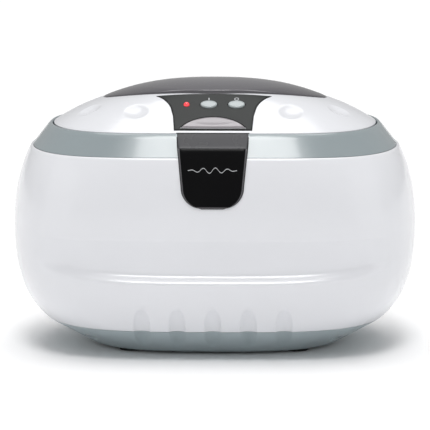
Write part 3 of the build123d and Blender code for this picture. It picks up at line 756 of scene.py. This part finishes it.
def front_tongue():
    foot, crease, top = 78.9, RIM_Z + 4.6, 114.2
    bow = foot + 10.1 * (1 - np.cos(np.linspace(0, pi / 2, 13)))
    low = np.concatenate([bow, np.arange(91.0, crease - 1, 2.4)])
    face = [foot + 0.75, *(z for z in low if z > foot + 1.0), crease]
    # Black sheet behind the tongue's outline: painted shadow in the gap round it.
    tongue_plate("tongue_gap", [foot - 0.35, *(low[1:]), crease, top + 0.25], 0.4, -0.7, 0.6, GAP_PAINTED_SHADOW)
    # Rim plate showing round the face in lighter grey: painted edge highlight.
    tongue_plate("tongue_rim", [*low, crease], 0.05, -0.25, 1.6, TONGUE_EDGE_PAINTED_HIGHLIGHT)
    tongue_plate("tongue_face", face, -0.7, 0.0, 1.6, PIANO_BLACK, ["front_tongue"])
    # The band over the tilted top carries the painted sky reflection.
    tongue_plate("tongue_band", [crease + 0.02, 109.5, 111.2, top], -0.05, 0.0, 1.2, TONGUE_TOP_PAINTED_REFLECTION)
    wave_mark()


def wave_mark():
    """Thin printed wave line in the middle of the tongue."""
    def place(shares, side):
        x = 12 * shares
        z = 97.3 + 1.3 * np.cos(pi * x / 24) * np.sin(2 * pi * x / 6) + 0.16 * side
        return x, np.array([-tongue_depth(level) - 0.04 for level in z]), z
    mark = laid_sheet("wave", (-1, 1), 121, place, 0.1, (0, -1, 0))
    finished(mark, "tongue_wave_mark", "housing", MARK_GREY)


def rubber_feet():
    foot = rod((-FOOT_X, -FOOT_Y, FOOT_HEIGHT / 2), 6, FOOT_HEIGHT)
    bpy.ops.object.mode_set(mode="EDIT")
    pick(foot, "FACE", lambda m, n: n.z < -0.9)
    bpy.ops.mesh.inset(thickness=0.5 * MM, depth=0)
    bpy.ops.mesh.inset(thickness=1.4 * MM, depth=0)
    bpy.ops.mesh.inset(thickness=0.3 * MM, depth=-0.35 * MM)
    pick(foot, "EDGE", lambda m, d: m.z < 0.01 and 5.9 < Vector((m.x + FOOT_X, m.y + FOOT_Y)).length < 6.1)
    bpy.ops.mesh.bevel(offset=0.4 * MM, segments=3, affect="EDGES")
    bpy.ops.object.mode_set(mode="OBJECT")
    steps = ((2 * FOOT_X, 0, 0), (0, 2 * FOOT_Y, 0), (2 * FOOT_X, 2 * FOOT_Y, 0))
    others = [copied(foot, Matrix.Translation(Vector(step) * MM)) for step in steps]
    finished(joined([foot] + others), "feet", "housing", RUBBER, ["rubber_feet"])


def power_inlet():
    """Figure-8 mains inlet: flange, block and the socket's hollow."""
    low, high = low_of("power_inlet"), high_of("power_inlet")
    middle_z = (low.z + high.z) / 2
    inlet = block((0, high.y - 0.7, middle_z), (24, 1.4, 16.2))
    bpy.ops.object.mode_set(mode="EDIT")
    pick(inlet, "FACE", lambda m, n: n.y < -0.9)
    bpy.ops.mesh.inset(thickness=1.6 * MM, depth=0)
    bpy.ops.transform.resize(value=(20 / 20.8, 1, 1), center_override=Vector((0, high.y, middle_z)) * MM)
    bpy.ops.mesh.extrude_region_move(TRANSFORM_OT_translate={"value": (0, -18.2 * MM, 0)})
    pick(inlet, "EDGE", lambda m, d: abs(d.y) > 0.9 and m.y > high.y - 1.4)
    bpy.ops.mesh.bevel(offset=2.0 * MM, segments=5, affect="EDGES")
    bpy.ops.object.mode_set(mode="OBJECT")
    cutters = [rod((x, high.y + 2.4, middle_z), 4.2, 30, "Y", 40) for x in (-2.6, 2.6)]
    cutters.append(block((0, high.y + 2.4, middle_z), (5.2, 30, 7.4)))
    carve(inlet, cutters)
    round_edges(inlet, 0.3, 2, 50)
    finished(inlet, "mains_inlet_block", "housing", INLET_BLACK, ["power_inlet"])


# ---------------------------------------------------------------- lid
DIMPLES = [(38.5, 37.8, 123.0, 30, 6), (62.6, 23, 122.0, 26, 22)]     # place and lean of each dish
DIMPLE_RADIUS, DIMPLE_DEPTH = 6.1, 1.4


def dimpled(x, y, z):
    """Pushes points of the dome in where the eight shallow dishes are."""
    for cx, cy, cz, lean_x, lean_y in DIMPLES:
        for side in (-1, 1):
            for end in (-1, 1):
                tip = Matrix.Rotation(radians(-end * lean_x), 3, "X")
                roll = Matrix.Rotation(radians(side * lean_y), 3, "Y")
                nx, ny, nz = tip @ roll @ Vector((0, 0, 1))
                gone = np.sqrt((x - side * cx) ** 2 + (y - end * cy) ** 2 + (z - cz) ** 2)
                deep = DIMPLE_DEPTH * np.maximum(0, 1 - (gone / DIMPLE_RADIUS) ** 2)
                x, y, z = x - nx * deep, y - ny * deep, z - nz * deep
    return x, y, z


def dome_shell():
    """White lid: skirt, dome with its dishes, window opening and inner wall."""
    def place(turns, row):
        kind, share = row
        if kind == "skirt":
            x, y = oval(turns, DOME_A - share[0], DOME_B - share[0], 5)
            return x, y, np.full_like(x, share[1])
        inset = LID_WALL if kind == "inner" else 0.0
        ax, ay = oval(turns, DOME_A - inset, DOME_B - inset, 5)
        bx, by = 50.5 * np.sin(turns), -20.5 * np.cos(turns)
        x, y = ax + (bx - ax) * share, ay + (by - ay) * share
        if kind == "outer":
            return dimpled(x, y, np.maximum(dome_height(x, y), SEAM_Z))
        z = dome_height(x * DOME_A / (DOME_A - inset), y * DOME_B / (DOME_B - inset)) - inset
        return x, y, np.maximum(z, SEAM_Z - inset)
    edge = [(0.5, LID_FLOOR), (0.15, LID_FLOOR + 0.15), (0.0, LID_FLOOR + 0.5), (0.0, SEAM_Z - 0.4)]
    skirt = [("skirt", corner) for corner in edge]
    outer = [("outer", t) for t in np.concatenate([[0.0], np.linspace(0.012, 1.0, 56)])]
    inner = [("inner", t) for t in np.linspace(1.0, 0.0, 12)]
    foot = [("skirt", (LID_WALL, LID_FLOOR))]
    shell = laid_grid("dome", even_turns(440), skirt + outer + inner + foot, place, ring=True)
    carve(shell, [panel_prism(-1.6, -7.0, 7.0), catch_gate()])
    return finished(shell, "white_lid", "lid", WHITE, ["lid_shell"], 28)


def catch_gate():
    return block((0, -52.6, LID_FLOOR + 0.6), (13, 7.2, 3.4))


def hinge_barrel():
    """Lid's hinge barrel with the tab that carries it."""
    barrel = rod((0, HINGE_Y, HINGE_Z), 3.7, 31.2, "X", 64)
    carve(barrel, [rod((0, HINGE_Y, HINGE_Z), PIN_BORE, 40, "X", 40)])
    round_edges(barrel, 0.4, 3, 50)
    tab = block((0, 54.6, HINGE_Z + 2.75), (30, 8.4, 1.5))
    round_edges(tab, 0.4, 3, 50)
    finished(joined([barrel, tab]), "lid_hinge_barrel", "lid", WHITE)


def window_cover():
    """Smoked window: crowned cap with a rounded rim, hollow underneath."""
    def place(turns, row):
        kind, share, lift = row
        x, y = WINDOW_A * share * np.sin(turns), -WINDOW_B * share * np.cos(turns)
        if kind == "crown":
            return x, y, window_height(x, y) - lift
        return x, y, np.minimum(dome_height(x, y) + lift, window_height(x, y) - 0.25)
    crown = [("crown", t, 0.0) for t in np.concatenate([[0.01], np.linspace(0.05, 0.955, 30)])]
    rim = [("crown", 0.9995 - 0.0195 * (1 - sin(q)), 0.75 * (1 - cos(q)))
           for q in np.linspace(0.2, pi / 2, 6)]
    under = [("foot", 0.9995, 0.14), ("foot", 0.955, 0.1), ("foot", 0.885, 0.1)]
    hollow = [("crown", t, 2.2) for t in np.linspace(0.87, 0.01, 14)]
    cap = laid_grid("window", even_turns(320), crown + rim + under + hollow, place, (True, True))
    finished(cap, "smoked_window", "lid", SMOKED, ["window"], 30)


def on_dome(x, s, lift=0.0):
    """Points of the panel plane carried along its normal onto the dome, and lifted."""
    height = np.zeros_like(x)
    for _ in range(5):
        y = PANEL_MIDDLE.y + s * PANEL_UP.y + height * PANEL_OUT.y
        z = PANEL_MIDDLE.z + s * PANEL_UP.z + height * PANEL_OUT.z
        height = height + (dome_height(x, y) - z) * PANEL_OUT.z
    height = height + lift
    return x, (PANEL_MIDDLE.y + s * PANEL_UP.y + height * PANEL_OUT.y,
               PANEL_MIDDLE.z + s * PANEL_UP.z + height * PANEL_OUT.z)


def panel_half_width(s):
    """Half width of the control panel: waisted flanks that flare to a wide top."""
    places = [PANEL_FOOT, -2.0, 5.0, 8.2, 11.4, 13.4, PANEL_TOP]
    return np.interp(s, places, [18.8, 19.55, 20.95, 22.3, 24.4, 26.1, 28.4])


def panel_sheet(name, grow, lift, thickness):
    levels = np.linspace(PANEL_FOOT - grow, PANEL_TOP + grow * 0.6, 42)

    def place(shares, s):
        x, (y, z) = on_dome(shares * (panel_half_width(s) + grow), np.full_like(shares, s), lift)
        return x, y, z
    return laid_sheet(name, levels, 57, place, thickness, PANEL_OUT)


def panel_prism(grow, low, high):
    """Prism of the panel's outline, between two heights over its plane."""
    levels = np.linspace(PANEL_FOOT + 1.8, PANEL_TOP + grow, 30)

    def place(shares, s):
        return panel_points(shares * (panel_half_width(s) + grow), np.full_like(shares, s), high)
    return laid_sheet("panel prism", levels, 9, place, high - low, PANEL_OUT)


def crescent_line(turns, shrink):
    """Outline of the release button: arched top, nearly straight foot."""
    half, foot, top = 15.8 - 1.6 * shrink, -11.5 + shrink, -3.2 - shrink
    upper = turns < pi
    x = half * np.cos(turns)

    def arc(rise):
        radius = (half ** 2 + rise ** 2) / (2 * abs(rise))
        return np.copysign(np.sqrt(np.maximum(radius ** 2 - x ** 2, 0)) - (radius - abs(rise)), rise)
    return x, foot + np.where(upper, arc(max(top - foot, 0.02)), arc(-0.4))


def panel_points(x, s, height):
    return (x, PANEL_MIDDLE.y + s * PANEL_UP.y + height * PANEL_OUT.y,
            PANEL_MIDDLE.z + s * PANEL_UP.z + height * PANEL_OUT.z)


def closed_ends(obj):
    """Closes the two open ends of a shell."""
    choose(obj)
    bpy.ops.object.mode_set(mode="EDIT")
    bpy.ops.mesh.select_mode(type="EDGE")
    bpy.ops.mesh.select_all(action="DESELECT")
    bpy.ops.mesh.select_non_manifold(extend=False, use_boundary=True)
    bpy.ops.mesh.fill_holes(sides=0)
    bpy.ops.mesh.select_all(action="SELECT")
    bpy.ops.mesh.normals_make_consistent(inside=False)
    bpy.ops.object.mode_set(mode="OBJECT")
    return obj


def standing_solid(name, outline, rows):
    """Closed solid on the panel from (outline argument, height) rows, lowest first."""
    def place(turns, row):
        size, height = row
        x, s = outline(turns, size)
        return panel_points(x, s, height(x, s) if callable(height) else height)
    return closed_ends(laid_grid(name, even_turns(96), rows, place))


def ellipse_line(x):
    def outline(turns, size):
        return x + size[0] * np.cos(turns), BUTTON_S + size[1] * np.sin(turns)
    return outline


def panel_cutters():
    """Prisms for the openings of the release button, the two buttons and the lamp."""
    def gate(outline, size):
        return standing_solid("gate", outline, [(size, -9.0), (size, 7.0)])
    cutters = [gate(crescent_line, -0.55)]
    cutters += [gate(ellipse_line(x), (4.55, 3.2)) for x in BUTTON_X.values()]
    return cutters + [gate(ellipse_line(LED_X), (1.6, 1.6))]


def control_panel():
    plate = panel_sheet("panel", -0.15, 0.3, 1.3)
    carve(plate, panel_cutters())
    round_edges(plate, 0.3, 3, 55)
    finished(plate, "control_panel_plate", "lid", PANEL_GREY, ["control_panel"])
    # Black sheet a little wider than the panel: painted shadow in the gap round the panel.
    seat = panel_sheet("panel gap shadow", 0.55, 0.1, 0.9)
    carve(seat, panel_cutters())
    finished(seat, "panel_gap_shadow", "lid", GAP_PAINTED_SHADOW)


def push_button(name, x):
    stem = [((1.5, 1.5), -5.2), ((1.5, 1.5), -4.6)]
    flange = [((5.5, 4.15), -4.6), ((5.5, 4.15), -3.8)]
    side = [((4.2, 2.85), -3.8), ((4.2, 2.85), 0.5), ((4.13, 2.78), 0.75), ((3.95, 2.6), 0.95)]
    crown = [((3.6, 2.25), 1.08), ((2.8, 1.6), 1.15), ((1.6, 0.8), 1.18), ((0.4, 0.2), 1.19)]
    sizes = stem + flange + side + crown
    cap = standing_solid(name, ellipse_line(x), sizes)
    finished(cap, name + "_cap", name, BUTTON_GREY, [name])


def release_button():
    def face(x, s):
        return 0.88 - 0.5 * np.maximum(0, 1 - (x / 11) ** 2 - ((s + 6.6) / 3.4) ** 2)
    rows = [(0.0, -3.6), (0.0, 0.05), (0.12, 0.3), (0.65, 0.82), (0.8, 0.88)]
    rows += [(shrink, face) for shrink in (1.0, 1.4, 1.9, 2.5, 3.1, 3.7)]
    cap = standing_solid("release", crescent_line, rows)
    low = low_of("release_button")
    hook = block((0, -47.25, low.z + 1.4), (12, 1.7, 2.8))
    bpy.ops.object.mode_set(mode="EDIT")
    bpy.ops.mesh.select_all(action="SELECT")
    bpy.ops.mesh.bisect(plane_co=Vector((0, 0, low.z + 0.8)) * MM, plane_no=(0, 0, 1))
    pick(hook, "FACE", lambda m, n: n.y < -0.9 and m.z < low.z + 0.8)
    bpy.ops.mesh.extrude_region_move(TRANSFORM_OT_translate={"value": (0, -5.1 * MM, 0)})
    bpy.ops.object.mode_set(mode="OBJECT")
    round_edges(hook, 0.2, 2, 50)
    finished(joined([cap, hook]), "release_button_cap", "release_button", RELEASE_GREY,
             ["release_button"])


def lamp():
    rows = [((1.5, 1.5), -5.6), ((1.5, 1.5), 0.1)]
    rows += [((1.5 * cos(q), 1.5 * cos(q)), 0.1 + 1.4 * sin(q)) for q in np.linspace(0.2, 1.5, 8)]
    bulb = standing_solid("lamp", ellipse_line(LED_X), rows)
    finished(bulb, "power_lamp", "lid", LAMP, ["led"])


def panel_marks():
    """Printed on and off signs above the two buttons: a bar and a ring."""
    def bar(shares, s):
        x, (y, z) = on_dome(BUTTON_X["on_button"] + shares * 0.28, np.full_like(shares, s), 0.34)
        return x, y, z
    stroke = laid_sheet("bar", np.linspace(10.5, 12.3, 5), 5, bar, 0.12, PANEL_OUT)
    round_edges(stroke, 0.03, 1, 50)
    choose_nothing()
    bpy.ops.mesh.primitive_torus_add(major_segments=48, minor_segments=8, major_radius=0.95 * MM,
                                     minor_radius=0.24 * MM)
    loop = settle(bpy.context.object)
    bpy.ops.object.mode_set(mode="EDIT")
    bpy.ops.mesh.select_all(action="SELECT")
    bpy.ops.transform.resize(value=(1, 1, 0.3), center_override=(0, 0, 0))
    bpy.ops.object.mode_set(mode="OBJECT")
    x = np.array([BUTTON_X["off_button"]])
    _, (y, z) = on_dome(x, np.array([11.4]), 0.32)
    turn = on_panel(0, 0).to_3x3().to_4x4()
    place_piece(loop, Matrix.Translation(Vector((x[0], y[0], z[0])) * MM) @ turn)
    finished(joined([stroke, loop]), "on_off_marks", "lid", MARK_GREY)


# ---------------------------------------------------------------- finishes of the other nodes
NODE_FINISHES = {
    "tank_gasket": SEAL, "lid_seal": SEAL, "lid_liner": LINER_WHITE, "base_screws": SCREW_STEEL,
    "deck_screws": SCREW_STEEL, "board_screws": SCREW_STEEL, "hinge_pin": PIN_STEEL, "inlet_pins": BRASS,
    "transducer_front_mass": ALLOY, "transducer_back_mass": PIN_STEEL, "transducer_bolt": SCREW_STEEL,
    "piezo_rings": CERAMIC, "electrode_tabs": COPPER, "driver_board": BOARD, "switch_board": BOARD,
    "heatsink": ALLOY, "power_transistor": INLET_BLACK, "tact_switches": INLET_BLACK,
    "transformer_core": FERRITE, "transformer_winding": TAPE_YELLOW, "capacitors": SLEEVE_BLUE,
    "fuse": GLASS, "fuse_clips": TIN,
    "connectors": NYLON, "mains_leads": WIRE_BLACK, "lid_lead": WIRE_BLACK, "transducer_leads": WIRE_RED,
    "release_spring": PIN_STEEL,
}


def dress_nodes():
    for node, finish in NODE_FINISHES.items():
        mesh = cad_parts[node].data
        if not mesh.materials:
            mesh.materials.append(finish)
        for index in range(len(mesh.materials)):
            mesh.materials[index] = finish


# ---------------------------------------------------------------- building
body_shell()
base_cover()
trim_ring()
tank()
front_tongue()
rubber_feet()
power_inlet()
dome_shell()
hinge_barrel()
window_cover()
control_panel()
for button, button_x in BUTTON_X.items():
    push_button(button, button_x)
release_button()
lamp()
panel_marks()
dress_nodes()
studio()
camera()
